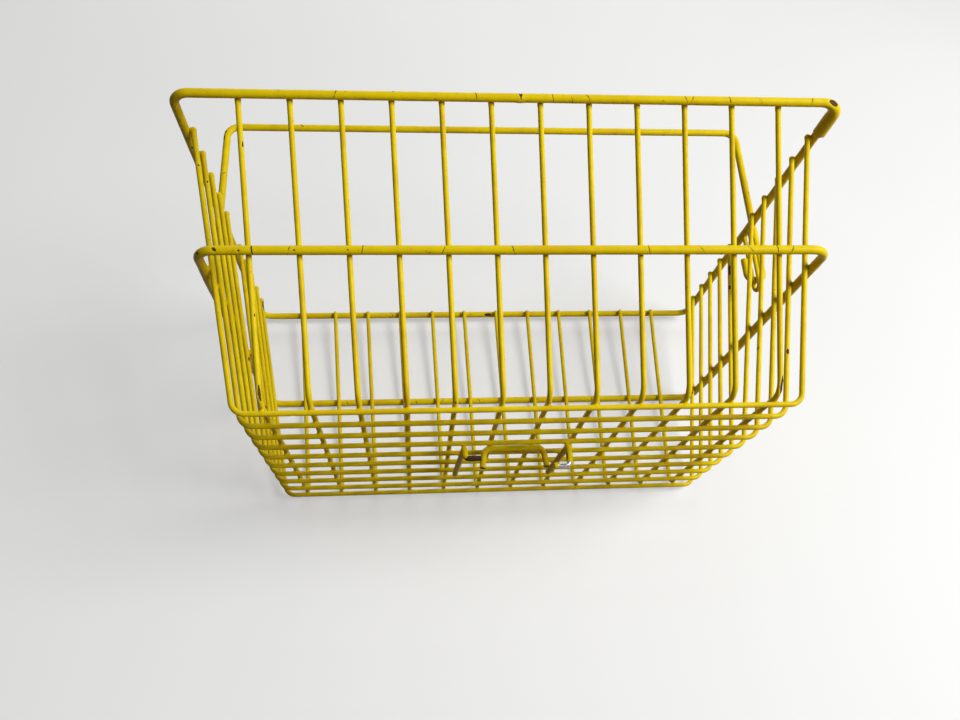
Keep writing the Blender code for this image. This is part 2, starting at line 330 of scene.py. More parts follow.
class Wire:
    """One wire of the basket: its line in the world, and what is needed to give it a surface."""

    def __init__(self, node, path, radius, sides, slot, closed=False, wave=(0, 0, 0)):
        self.node = node
        self.radius = radius
        self.sides = sides
        self.slot = slot
        self.closed = closed
        self.chips = []
        self.lumps = []
        self.cap = 0 if closed else radius * CUT_RISE
        self.cap_rise = self.cap
        points = [AXES @ point for point in path]
        if closed:
            points.append(points[0])
        self.knots = np.array([tuple(point) for point in points])
        self.marks = arc_marks(self.knots)
        self.length = self.marks[-1]
        if any(wave):
            self.bend_a_little(wave)
        count = max(2, round(self.length / SAMPLE_STEP))
        self.sample_marks = np.linspace(0, self.length, count + 1)
        self.samples = self.at(self.sample_marks)
        ahead = np.roll(self.samples, -1, 0) - self.samples
        ahead[-1] = ahead[-2]
        self.tangents = ahead / np.linalg.norm(ahead, axis=1, keepdims=True)
        self.end_inset = 0
        if slot == "coated_mesh_wire":
            self.hang_beads()

    def hang_beads(self):
        """Thickens and rounds both ends, where the wet coating ran together and set."""
        self.end_inset = self.radius / 2
        self.cap = self.radius / 2
        self.cap_rise = self.radius * BEAD_RISE
        self.lumps = [Lump(mark, BEAD_LENGTH, BEAD_SWELL) for mark in (0, self.length)]

    def bend_a_little(self, wave):
        """Drawn wire is never quite straight: a slow sideways wave that dies out at the ends."""
        draw = random.Random(self.node)
        marks = np.linspace(0, self.length, 4 * len(self.knots))
        marks = np.union1d(marks, self.marks)
        points = self.at(marks)
        share = marks / self.length
        shift = np.zeros(len(marks))
        for turns in WAVE_TURNS:
            shift += draw.uniform(-1, 1) / turns * np.sin(math.pi * turns * share)
        self.knots = points + shift[:, None] * WIRE_WAVE * in_world(wave)
        self.marks = arc_marks(self.knots)
        self.length = self.marks[-1]

    def at(self, marks):
        return np.stack([np.interp(marks, self.marks, self.knots[:, k]) for k in range(3)], 1)

    def nearest_mark(self, point):
        away = np.linalg.norm(self.samples - np.array(point), axis=1)
        return self.sample_marks[away.argmin()]

    def way_from(self, mark, marks):
        """How far places are along the wire from a mark, the shorter way round a ring."""
        way = marks[:, None] - mark
        if self.closed:
            way = (way + self.length / 2) % self.length - self.length / 2
        return way

    def apart(self, points, picked=slice(None)):
        """How far each point is from this wire's surface, near the picked samples of its line."""
        samples = self.samples[picked]
        offset = points[:, None, :] - samples[None, :, :]
        nearest = (offset**2).sum(2).argmin(1)
        offset = offset[np.arange(len(points)), nearest]
        tangent = self.tangents[picked][nearest]
        mark = self.sample_marks[picked][nearest]
        slide = (offset * tangent).sum(1).clip(-SAMPLE_STEP, SAMPLE_STEP)
        if not self.closed:
            slide = slide.clip(self.end_inset - mark, self.length - self.end_inset - mark)
        return np.linalg.norm(offset - slide[:, None] * tangent, axis=1) - self.radius


def arc_marks(points):
    steps = np.linalg.norm(np.diff(points, axis=0), axis=1)
    return np.concatenate([[0], np.cumsum(steps)])


class Contact:
    """A stretch of one wire that another runs close by, with the samples of the other near it."""

    def __init__(self, wire, other, run):
        self.other = other
        self.low = wire.sample_marks[run[0]] - SAMPLE_STEP
        self.high = wire.sample_marks[run[-1]] + SAMPLE_STEP
        offset = other.samples[:, None, :] - wire.samples[None, run, :]
        reach = wire.radius + other.radius + 2 * WELD_REACH
        self.picked = np.flatnonzero(np.linalg.norm(offset, axis=2).min(1) < reach)


def boxes_meet(first, second, margin):
    low = np.maximum(first.samples.min(0), second.samples.min(0)) - margin
    high = np.minimum(first.samples.max(0), second.samples.max(0)) + margin
    return bool((low <= high).all())


def find_contacts(wires):
    """For each wire, the stretches close to others, and how near the nearest other is."""
    for wire in wires:
        wire.gap = np.full(len(wire.samples), FAR_AWAY)
        wire.contacts = []
        for other in wires:
            margin = wire.radius + other.radius + WELD_REACH
            if other is wire or other.body != wire.body or not boxes_meet(wire, other, margin):
                continue
            gap = other.apart(wire.samples) - wire.radius
            close = np.flatnonzero(gap < WELD_REACH)
            if len(close) == 0:
                continue
            for run in np.split(close, np.flatnonzero(np.diff(close) > 1) + 1):
                wire.contacts.append(Contact(wire, other, run))
            wire.gap = np.minimum(wire.gap, gap)


def curved(wire, mark):
    """How far the line turns over one bend step at a place, in radians."""
    a, b, c = wire.at(np.array([mark - BEND_STEP, mark, mark + BEND_STEP]))
    ahead = c - b
    behind = b - a
    return np.linalg.norm(ahead - behind) / BEND_STEP


def ring_marks(wire):
    """Places of the rings along a wire: close at welds, chips and bends, wide apart elsewhere."""
    low = wire.cap
    high = wire.length - wire.cap
    marks = [low]
    while marks[-1] < high:
        mark = marks[-1]
        probe = np.array([mark, mark + PLAIN_STEP])
        step = PLAIN_STEP
        if max(curved(wire, mark), curved(wire, mark + PLAIN_STEP)) > BENT_FROM:
            step = BEND_STEP
        if np.interp(probe, wire.sample_marks, wire.gap).min() < WELD_REACH:
            step = WELD_STEP
        for detail in wire.chips + wire.lumps:
            if abs(mark + PLAIN_STEP / 2 - detail.mark) < detail.reach + PLAIN_STEP:
                step = min(step, detail.step)
        marks.append(mark + step)
    marks = np.array(marks) - low
    return low + marks * (high - low) / marks[-1]


def ring_frames(wire, marks):
    """Two unit directions across the wire at each ring, turned as little as possible."""
    points = wire.at(marks)
    if wire.closed:
        ahead = np.roll(points[:-1], -1, 0)
        behind = np.roll(points[:-1], 1, 0)
        along = ahead - behind
        along = np.concatenate([along, along[:1]])
    else:
        along = np.gradient(points, axis=0)
    along /= np.linalg.norm(along, axis=1, keepdims=True)
    side = in_world((0, 1, 0))
    if abs(side @ along[0]) > NEARLY_PARALLEL:
        side = in_world((0, 0, 1))
    sides = []
    for direction in along:
        side = side - direction * (side @ direction)
        side = side / np.linalg.norm(side)
        sides.append(side)
    sides = np.array(sides)
    return points, along, sides, np.cross(along, sides)


def soft_minimum(first, second):
    """The smaller of two distances, with a fillet where they are alike."""
    blend = np.clip(1 - np.abs(first - second) / FILLET_WIDTH, 0, 1)
    return np.minimum(first, second) - blend**2 * FILLET_WIDTH / 4


def grow_fillets(wire, marks, centres, outwards, start):
    """Moves points of the surface outwards until they lie on the coating round all wires."""
    grown = start.copy()
    contacts = []
    for contact in wire.contacts:
        rows = np.flatnonzero((marks >= contact.low) & (marks <= contact.high))
        if len(rows):
            contacts.append((contact, rows))
    for _ in range(FILLET_ROUNDS):
        gap = np.full(start.shape, FAR_AWAY)
        for contact, rows in contacts:
            points = centres[rows] + outwards[rows] * grown[rows][:, :, None]
            apart = contact.other.apart(points.reshape(-1, 3), contact.picked)
            gap[rows] = np.minimum(gap[rows], apart.reshape(len(rows), -1))
        grown = grown - soft_minimum(grown - start, gap)
        grown = grown.clip(start, start + FILLET_RISE)
    return grown, gap


def angle_of(facing, sides, across):
    """The angle round each ring at which a direction points."""
    return np.arctan2(across @ facing, sides @ facing)[:, None]


class Chip:
    """A place where the coating is gone: an ellipse on a wire's surface, sheared along it.

    How deep it goes is a share of the coating's thickness. Rubbed steel is bright.
    """

    def __init__(self, wire, own_place, own_facing, half_length, half_width, shear, deep, rubbed):
        self.mark = wire.nearest_mark(AXES @ Vector(own_place))
        self.facing = in_world(Vector(own_facing).normalized())
        self.half_length = half_length
        self.half_width = half_width
        self.shear = shear
        self.deep = deep
        self.rubbed = rubbed
        self.reach = half_length + abs(shear) * half_width + CHIP_MARGIN
        self.step = max(CHIP_STEP / 2, min(CHIP_STEP, half_length / 2))

    def distance(self, wire, marks, sides, across, angles):
        """Distance to the chip's edge on the surface, negative inside it."""
        turn = angles[None, :] - angle_of(self.facing, sides, across)
        around = ((turn + math.pi) % (2 * math.pi) - math.pi) * wire.radius
        along = wire.way_from(self.mark, marks) - self.shear * around
        size = np.sqrt((along / self.half_length) ** 2 + (around / self.half_width) ** 2)
        return (size - 1) * min(self.half_length, self.half_width)


class Lump:
    """A thicker place in the coating: a bead all round, or a loose sleeve on one side.

    A sleeve's edge is the share of its first half over which it rises; its second half fades out.
    """

    def __init__(self, mark, half_length, swell, edge=1.0, own_facing=None):
        self.mark = mark
        self.half_length = half_length
        self.swell = swell
        self.edge = edge
        self.facing = None
        if own_facing:
            self.facing = in_world(Vector(own_facing).normalized())
        self.reach = half_length
        self.step = BEND_STEP if edge == 1.0 else CHIP_STEP

    def height(self, wire, marks, sides, across, angles):
        """Rise of the surface in shares of the wire's radius."""
        along = wire.way_from(self.mark, marks)
        if self.facing is not None:
            along = along + RAGGED_EDGE * (np.sin(3 * angles + 1) + np.sin(7 * angles))[None, :]
        edge = np.where(along < 0, self.edge, 1.0)
        near = np.clip((1 - np.abs(along) / self.half_length) / edge, 0, 1)
        height = self.swell * smooth(near)
        if self.facing is not None:
            turn = angles[None, :] - angle_of(self.facing, sides, across)
            height = height * (0.5 + 0.5 * np.cos(turn))
        return height


def uneven(wire, marks, angles):
    """Slow unevenness of the dipped coating, from 0 to 1, over a wire's surface."""
    draw = random.Random("coating " + wire.node)
    height = np.zeros((len(marks), len(angles)))
    for period in UNEVEN_PERIODS:
        turns = round(wire.length / period)
        phase = draw.uniform(0, 2 * math.pi)
        lean = draw.choice((-1, 0, 1))
        wave = 2 * math.pi * turns * marks / wire.length + phase
        height += np.sin(wave[:, None] + lean * angles[None, :])
    return (height / len(UNEVEN_PERIODS) + 1) / 2


def wire_surface(wire):
    """Points of a wire's rings, and three values at each point for its material.

    The values are the distance to bare steel and to the next wire, in millimetres, and whether
    the steel is rubbed bright there.
    """
    marks = ring_marks(wire)
    centres, along, sides, across = ring_frames(wire, marks)
    angles = 2 * math.pi * np.arange(wire.sides) / wire.sides
    out = (
        sides[:, None, :] * np.cos(angles)[None, :, None]
        + across[:, None, :] * np.sin(angles)[None, :, None]
    )
    reach = wire.radius * (1 - UNEVENNESS * uneven(wire, marks, angles))
    for lump in wire.lumps:
        reach = reach + wire.radius * lump.height(wire, marks, sides, across, angles)
    spread = np.repeat(centres[:, None, :], wire.sides, 1)
    away = np.full(reach.shape, FAR_AWAY)
    if wire.contacts:
        reach, away = grow_fillets(wire, marks, spread, out, reach)
    bare = np.full(reach.shape, CHIP_FAR)
    sunk = np.zeros(reach.shape)
    rubbed = np.zeros(reach.shape)
    for chip in wire.chips:
        distance = chip.distance(wire, marks, sides, across, angles)
        bare = np.minimum(bare, distance)
        fall = np.clip(-distance / (COATING_THICKNESS / 2), 0, 1)
        sunk = np.maximum(sunk, smooth(fall) * chip.deep)
        if chip.rubbed:
            rubbed = np.maximum(rubbed, distance < RUB_MARGIN)
    reach = reach - sunk * COATING_THICKNESS
    points = spread + out * reach[:, :, None]
    return marks, centres, along, points, (bare * 1000, away * 1000, rubbed)


def domed_end(points, centre, direction, rise):
    """Rings of a rounded wire end, from its last full section outwards."""
    rings = []
    for angle in DOME_ANGLES:
        scale = math.cos(math.radians(angle))
        shift = direction * rise * math.sin(math.radians(angle))
        rings.append(centre + (points - centre) * scale + shift)
    return rings


def ring_faces(rows, sides, closed):
    """Quads between neighbouring rings, and the two end faces of an open wire."""
    row = np.arange(rows if closed else rows - 1)[:, None]
    column = np.arange(sides)[None, :]
    here = row * sides
    there = (row + 1) % rows * sides
    beside = (column + 1) % sides
    quads = np.stack([here + column, here + beside, there + beside, there + column], 2)
    faces = quads.reshape(-1, 4).tolist()
    if not closed:
        faces.append(list(range(sides))[::-1])
        faces.append(list(range((rows - 1) * sides, rows * sides)))
    return faces


def unrolled(marks, rows, sides, closed):
    """For each corner of the faces, its place along the wire in metres and around it in turns."""
    row = np.arange(rows if closed else rows - 1)
    after = np.minimum(row + 1, len(marks) - 1)
    around = np.arange(sides) / sides
    low_u, low_v = np.meshgrid(marks[row], around, indexing="ij")
    high_u, high_v = np.meshgrid(marks[after], around + 1 / sides, indexing="ij")
    corners = [(low_u, low_v), (low_u, high_v), (high_u, high_v), (high_u, low_v)]
    places = np.stack([np.stack(corner, 2) for corner in corners], 2).reshape(-1, 2)
    if not closed:
        places = np.concatenate([places, np.zeros((2 * sides, 2))])
    return places.astype(np.float32)


def wire_mesh(wire):
    marks, centres, along, points, values = wire_surface(wire)
    if wire.closed:
        points = points[:-1]
        values = [value[:-1] for value in values]
    else:
        first = domed_end(points[0], centres[0], -along[0], wire.cap_rise)
        last = domed_end(points[-1], centres[-1], along[-1], wire.cap_rise)
        points = np.concatenate([first[::-1], points, last])
        added = len(DOME_ANGLES)
        values = [np.pad(value, ((added, added), (0, 0)), mode="edge") for value in values]
        lead = np.linspace(0, wire.cap, added, endpoint=False)
        marks = np.concatenate([lead, marks, wire.length - lead[::-1]])
    shape = (len(points), wire.sides, wire.closed)
    mesh = bpy.data.meshes.new(wire.node + "_coated")
    mesh.from_pydata(points.reshape(-1, 3).tolist(), [], ring_faces(*shape))
    for label, value in zip(("to_bare_steel", "to_next_wire", "rubbed"), values):
        layer = mesh.attributes.new(label, "FLOAT", "POINT")
        layer.data.foreach_set("value", value.reshape(-1).astype(np.float32))
    layer = mesh.uv_layers.new(name="along_and_around")
    layer.data.foreach_set("uv", unrolled(marks, *shape).reshape(-1))
    mesh.shade_smooth()
    mesh.update()
    return mesh


# Materials

def node_tree(name):
    material = bpy.data.materials.new(name)
    material.use_nodes = True
    tree = material.node_tree
    return material, tree, tree.nodes["Principled BSDF"]


class Nodes:
    """Short calls for the nodes that the materials are put together from."""

    def __init__(self, tree):
        self.tree = tree

    def add(self, kind, **inputs):
        node = self.tree.nodes.new(kind)
        for name, value in inputs.items():
            self.set(node, name.replace("_", " "), value)
        return node

    def set(self, node, name, value):
        if isinstance(value, bpy.types.NodeSocket):
            self.tree.links.new(value, node.inputs[name])
        else:
            node.inputs[name].default_value = value

    def maths(self, operation, *values):
        node = self.tree.nodes.new("ShaderNodeMath")
        node.operation = operation
        for slot, value in enumerate(values):
            self.set(node, slot, value)
        return node.outputs[0]

    def ramp(self, value, low, high):
        """0 below low and 1 above high, or the other way round."""
        node = self.tree.nodes.new("ShaderNodeMapRange")
        node.interpolation_type = "SMOOTHSTEP"
        node.clamp = True
        names = ("Value", "From Min", "From Max", "To Min", "To Max")
        ends = (low, high, 0.0, 1.0) if low < high else (high, low, 1.0, 0.0)
        for name, item in zip(names, (value, *ends)):
            self.set(node, name, item)
        return node.outputs["Result"]

    def between(self, value, at_none, at_full):
        """A number that runs from one end to the other as the value runs from 0 to 1."""
        node = self.add("ShaderNodeMapRange", Value=value, To_Min=at_none, To_Max=at_full)
        return node.outputs["Result"]

    def mix(self, factor, first, second):
        """Two colours mixed. A mix node keeps its sockets for colours at 6, 7 and 2."""
        node = self.tree.nodes.new("ShaderNodeMix")
        node.data_type = "RGBA"
        self.set(node, 0, factor)
        self.set(node, 6, first)
        self.set(node, 7, second)
        return node.outputs[2]

    def noise(self, place, size_mm, detail=2.0, roughness=0.5):
        node = self.add("ShaderNodeTexNoise", Vector=place, Scale=1000 / size_mm)
        self.set(node, "Detail", detail)
        self.set(node, "Roughness", roughness)
        return node.outputs["Fac"]

    def attribute(self, name):
        node = self.tree.nodes.new("ShaderNodeAttribute")
        node.attribute_name = name
        return node.outputs["Fac"]


# Colours of the coating, of the dirt on it and of the shade painted in the corners of its welds,
# and of the steel below it
YELLOW = (0.780, 0.580, 0.003, 1)
DEEP_YELLOW = (0.690, 0.470, 0.003, 1)
# Brown of dirt, also used as painted shade in the corners of the welds
DIRT_AND_WELD_SHADE = (0.200, 0.120, 0.012, 1)
CRACK = (0.045, 0.028, 0.010, 1)
DARK_STEEL = (0.050, 0.034, 0.022, 1)
BROWN_RUST = (0.080, 0.036, 0.012, 1)
BRIGHT_STEEL = (0.420, 0.410, 0.400, 1)
GREY_PATINA = (0.120, 0.112, 0.105, 1)

# Heights of the coating's finest relief, too small for the mesh
DIP_WAVE = 0.00018
PEEL = 0.00003
STEP_DOWN = 0.00015

# Floor and surroundings: what is seen of them, and the weaker light that they throw
PALE_FLOOR = (0.49, 0.49, 0.48, 1)
PALER_FLOOR = (0.52, 0.52, 0.51, 1)
FLOOR_GLOW = 0.34
FLOOR_BOUNCE = (0.12, 0.08, 0.03, 1)
SKY_SEEN = 0.85
SKY_LIGHT = 0.08


def weld_shade_and_dirt_mask(nodes, place, soil):
    """Painted shade in the corners of the welds, in patches, and dirt in small flecks and as a film
    of the given strength.
    """
    # Painted shade: darker the nearer the next wire is, in patches
    corner = nodes.ramp(nodes.attribute("to_next_wire"), 1.3, 0.1)
    patch = nodes.ramp(nodes.noise(place, size_mm=9.0, detail=4.0, roughness=0.6), 0.40, 0.62)
    weld_shade_and_dirt = nodes.maths("MULTIPLY", corner, patch)
    weld_shade_and_dirt = nodes.maths("MULTIPLY", weld_shade_and_dirt, 0.75)
    fleck = nodes.ramp(nodes.noise(place, size_mm=2.2, detail=3.0, roughness=0.6), 0.66, 0.73)
    weld_shade_and_dirt = nodes.maths("MAXIMUM", weld_shade_and_dirt, nodes.maths("MULTIPLY", fleck, 0.6))
    film = nodes.ramp(nodes.noise(place, size_mm=7.0, detail=4.0, roughness=0.6), 0.25, 0.75)
    return nodes.maths("MAXIMUM", weld_shade_and_dirt, nodes.maths("MULTIPLY", film, soil))


def crack_mask(nodes, place, crack_share):
    """Fine cracks: the edges of large shaken cells, which cut across so thin a wire."""
    wobble = nodes.add("ShaderNodeTexNoise", Vector=place, Scale=260.0)
    shaken = nodes.add("ShaderNodeVectorMath")
    shaken.operation = "MULTIPLY_ADD"
    nodes.set(shaken, 0, wobble.outputs["Color"])
    nodes.set(shaken, 1, (0.004, 0.004, 0.004))
    nodes.set(shaken, 2, place)
    cells = nodes.add("ShaderNodeTexVoronoi", Vector=shaken.outputs[0], Scale=58.0)
    cells.feature = "DISTANCE_TO_EDGE"
    line = nodes.ramp(cells.outputs["Distance"], 0.011, 0.004)
    here = nodes.ramp(nodes.noise(place, size_mm=14.0), 1 - crack_share, 1.06 - crack_share)
    return nodes.maths("MULTIPLY", line, here)


def bare_mask(nodes, place):
    """The chips that the mesh knows of, with an edge that noise breaks up."""
    grain = nodes.noise(place, size_mm=1.1, detail=4.0, roughness=0.65)
    ragged = nodes.maths("SUBTRACT", grain, 0.5)
    edge = nodes.maths("MULTIPLY_ADD", ragged, 0.9, nodes.attribute("to_bare_steel"))
    return nodes.ramp(edge, 0.06, -0.06)


def steel_colour(nodes, place, rubbed):
    """Rusty steel, or bright steel with a grey patina where it is rubbed."""
    rusty = nodes.ramp(nodes.noise(place, size_mm=2.4, detail=4.0, roughness=0.6), 0.40, 0.62)
    dull_steel = nodes.mix(rusty, DARK_STEEL, BROWN_RUST)
    rubbed_steel = nodes.mix(rusty, BRIGHT_STEEL, GREY_PATINA)
    return nodes.mix(rubbed, dull_steel, rubbed_steel)


def relief(nodes, place, crack, bare):
    """Soft waves of the dip, fine peel, and the steps down into cracks and chips, in metres."""
    height = nodes.maths("MULTIPLY", nodes.noise(place, size_mm=5.0), DIP_WAVE)
    peel = nodes.maths("MULTIPLY", nodes.noise(place, size_mm=1.3), PEEL)
    height = nodes.maths("ADD", height, peel)
    height = nodes.maths("SUBTRACT", height, nodes.maths("MULTIPLY", crack, STEP_DOWN))
    return nodes.maths("SUBTRACT", height, nodes.maths("MULTIPLY", bare, STEP_DOWN))


def coating(name, crack_share, soil, specular):
    """Dipped yellow coating with painted shade in the corners of the welds, dirt, fine cracks, and
    steel in its chips.
    """
    material, tree, shader = node_tree(name)
    nodes = Nodes(tree)
    place = nodes.add("ShaderNodeTexCoord").outputs["Object"]
    weld_shade_and_dirt = weld_shade_and_dirt_mask(nodes, place, soil)
    crack = crack_mask(nodes, place, crack_share)
    bare = bare_mask(nodes, place)
    rubbed = nodes.attribute("rubbed")

    cloud = nodes.noise(place, size_mm=38.0, detail=3.0)
    colour = nodes.mix(nodes.ramp(cloud, 0.42, 0.72), YELLOW, DEEP_YELLOW)
    # Painted shade in the weld corners and brown dirt, both in one colour
    colour = nodes.mix(weld_shade_and_dirt, colour, DIRT_AND_WELD_SHADE)
    colour = nodes.mix(crack, colour, CRACK)
    colour = nodes.mix(bare, colour, steel_colour(nodes, place, rubbed))
    shine = nodes.maths("MULTIPLY", bare, nodes.between(rubbed, 0.25, 1.0))

    satin = nodes.maths("MULTIPLY_ADD", nodes.noise(place, size_mm=6.0, detail=3.0), 0.16, 0.22)
    satin = nodes.maths("ADD", satin, nodes.maths("MULTIPLY", weld_shade_and_dirt, 0.35))
    roughness = nodes.add("ShaderNodeMix", Factor=bare, A=satin)
    nodes.set(roughness, "B", nodes.between(rubbed, 0.65, 0.30))

    height = relief(nodes, place, crack, bare)
    bump = nodes.add("ShaderNodeBump", Height=height, Distance=1.0, Strength=0.8)

    nodes.set(shader, "Base Color", colour)
    nodes.set(shader, "Roughness", roughness.outputs["Result"])
    nodes.set(shader, "Metallic", shine)
    nodes.set(shader, "Normal", bump.outputs["Normal"])
    nodes.set(shader, "Specular IOR Level", specular)
    return material


def seen_rays(nodes):
    """1 for the camera and in reflections, 0 for the light thrown on other surfaces."""
    rays = nodes.add("ShaderNodeLightPath").outputs
    seen = nodes.maths("MAXIMUM", rays["Is Camera Ray"], rays["Is Glossy Ray"])
    return nodes.maths("MAXIMUM", seen, rays["Is Transmission Ray"])


def floor_material():
    """Pale to the camera and in reflections, and duller in the light that it throws back."""
    material, tree, shader = node_tree("pale_floor")
    nodes = Nodes(tree)
    place = nodes.add("ShaderNodeTexCoord").outputs["Object"]
    cloud = nodes.ramp(nodes.noise(place, size_mm=700.0, detail=3.0), 0.3, 0.7)
    seen = seen_rays(nodes)
    colour = nodes.mix(seen, FLOOR_BOUNCE, nodes.mix(cloud, PALE_FLOOR, PALER_FLOOR))
    nodes.set(shader, "Base Color", colour)
    nodes.set(shader, "Emission Color", (1.0, 1.0, 0.99, 1))
    nodes.set(shader, "Emission Strength", nodes.maths("MULTIPLY", seen, FLOOR_GLOW))
    nodes.set(shader, "Roughness", 0.9)
    nodes.set(shader, "Specular IOR Level", 0.1)
    return material


# The basket

def all_wires():
    wires = []
    for name, depth in (("rim_ring", RIM_DEPTH), ("belt_ring", BELT_DEPTH)):
        path = ring_path(depth)
        wires.append(Wire(name, path, FRAME_RADIUS, FRAME_SIDES, "coated_frame_wire", closed=True))
    for index in range(CROSS_WIRES):
        name = f"cross_wire_{index + 1:02d}"
        path = cross_path(index)
        wires.append(Wire(name, path, MESH_RADIUS, MESH_SIDES, "coated_mesh_wire", wave=(1, 0, 0)))
    for index in range(LONG_WIRES):
        name = f"long_wire_{index + 1:02d}"
        path = long_path(index)
        wires.append(Wire(name, path, MESH_RADIUS, MESH_SIDES, "coated_mesh_wire", wave=(0, 0, 1)))
    path = handle_path()
    wires.append(Wire("carry_handle", path, HANDLE_RADIUS, FRAME_SIDES, "coated_handle_wire"))
    for name, side in SIDES_BY_NAME:
        path = loop_path(side)
        wires.append(Wire("handle_loop_" + name, path, MESH_RADIUS, MESH_SIDES, "coated_mesh_wire"))
    wires.append(Wire("rack_staple", staple_path(), RACK_RADIUS, MESH_SIDES, "coated_rack_rod"))
    for name, side in SIDES_BY_NAME:
        path = rounded_path(hook_corners(side), HOOK_TURN)
        wires.append(Wire("rack_hook_" + name, path, RACK_RADIUS, FRAME_SIDES, "worn_rack_rod"))
    return wires


def body_of_node(node):
    return next(name for name, nodes in BODIES.items() if node in nodes)


class Wear:
    """Puts chips, cracks and thick places in the coating, at places in the own axes."""

    def __init__(self, wires):
        self.named = {wire.node: wire for wire in wires}

    def chip(self, node, place, facing, length, width, shear=0.0, deep=1.0, rubbed=False):
        """A chip with a length along the wire and a width around it."""
        wire = self.named[node]
        item = Chip(wire, place, facing, length / 2, width / 2, shear, deep, rubbed)
        wire.chips.append(item)

    def cracks(self, node, line, width, places):
        """Hairline cracks across a wire that runs along u, each given by its u and its shear."""
        for u, shear in places:
            self.chip(node, (u, *line), OUTSIDE_UP, HAIRLINE, width, shear, HAIRLINE_DEPTH)

    def lump(self, node, place, length, swell, edge=1.0, facing=None):
        """A thick place, all round or on the side that it faces."""
        wire = self.named[node]
        mark = wire.nearest_mark(AXES @ Vector(place))
        wire.lumps.append(Lump(mark, length / 2, swell, edge, facing))


def wear_rim(wear):
    rim_u = frame_half_length(RIM_DEPTH)
    rim_w = frame_half_width(RIM_DEPTH)

    # A butt joint in the upper side
    joint = (0.0017, RIM_DEPTH, rim_w)
    wear.lump("rim_ring", joint, 0.0080, 0.12, facing=(0, -1, 0))
    wear.chip("rim_ring", joint, (0, 0.4, 1), 0.0019, 0.0056)
    wear.chip("rim_ring", joint, (0, -0.6, 1), 0.0006, 0.0040, 0.2, 0.6)

    # The thickly coated right end wire, and a loose sleeve of coating from its bare corner down
    arc_start = rim_w - FRAME_CORNER_RADIUS
    wear.lump("rim_ring", (rim_u, RIM_DEPTH, 0), 0.2700, 0.20, 0.20, (-0.6, -0.8, 0))
    wear.lump("rim_ring", (rim_u, RIM_DEPTH, arc_start), 0.0380, 0.65, 0.08, (0.6, -0.8, 0))
    wear.lump("rim_ring", (rim_u, RIM_DEPTH, arc_start - 0.004), 0.0300, 0.22, 0.10)
    corner = (rim_u - 0.0048, RIM_DEPTH, rim_w)
    wear.chip("rim_ring", corner, (0.15, -0.35, 1), 0.0056, 0.0034)

    # Small chips, and cracks across the upper side
    wear.chip("rim_ring", (0.008, RIM_DEPTH, -rim_w), (0, -0.6, 1), 0.0070, 0.0034)
    wear.chip("rim_ring", (-0.1383, RIM_DEPTH, rim_w), (0, 0.9, 1), 0.0030, 0.0020)
    wear.chip("rim_ring", (-0.0722, RIM_DEPTH, rim_w), (0, 0.9, 1), 0.0018, 0.0016)
    wear.chip("rim_ring", (-rim_u, RIM_DEPTH, 0.100), (0.3, -1, 0.4), 0.0020, 0.0014)
    wear.cracks("rim_ring", (RIM_DEPTH, rim_w), 0.0062, (
        (-0.1050, -0.3), (-0.0239, 0.1), (0.0209, 0.15), (0.0416, 0.5),
        (0.1011, 0.35), (0.1053, -0.5), (0.1276, 0.2), (0.1787, -0.3),
    ))


def wear_belt(wear):
    belt_u = frame_half_length(BELT_DEPTH)
    belt_w = frame_half_width(BELT_DEPTH)

    # Both end wires are coated thickly
    for side in (-1, 1):
        facing = (0.6 * side, -0.8, 0)
        wear.lump("belt_ring", (side * belt_u, BELT_DEPTH, 0), 0.2300, 0.20, 0.20, facing)

    # A crack that is open all round, and chips near the left corner
    wear.chip("belt_ring", (-0.1499, BELT_DEPTH, belt_w), OUTSIDE_UP, 0.0008, 0.0110, 0.10, 0.8)
    wear.chip("belt_ring", (-0.1692, BELT_DEPTH, belt_w), OUTSIDE_UP, 0.0022, 0.0028, 0.4)
    wear.chip("belt_ring", (-belt_u, BELT_DEPTH, belt_w), (-0.7, -0.5, 0.6), 0.0022, 0.0014)
    wear.chip("belt_ring", (-0.1569, BELT_DEPTH, belt_w), (0, -0.7, 1), 0.0016, 0.0012)
    wear.chip("belt_ring", (-0.1268, BELT_DEPTH, belt_w), (0, -0.5, 1), 0.0014, 0.0010)
    wear.chip("belt_ring", (-0.0975, BELT_DEPTH, belt_w), (0, -0.5, 1), 0.0012, 0.0010)

    # Cracks beside the welds, in the upper and in the lower side
    wear.cracks("belt_ring", (BELT_DEPTH, belt_w), 0.0064, (
        (-0.1301, -0.4), (-0.0896, -0.15), (-0.0450, -0.4), (-0.0060, 0.25), (0.0720, 0.15),
        (0.1036, 0.7), (0.1321, 0.9), (0.1483, 0.2), (0.1575, -0.35),
    ))
    lower = [(u, 0.3) for u in (-0.118, -0.060, -0.006, 0.038, 0.092)]
    wear.cracks("belt_ring", (BELT_DEPTH, -belt_w), 0.0050, lower)


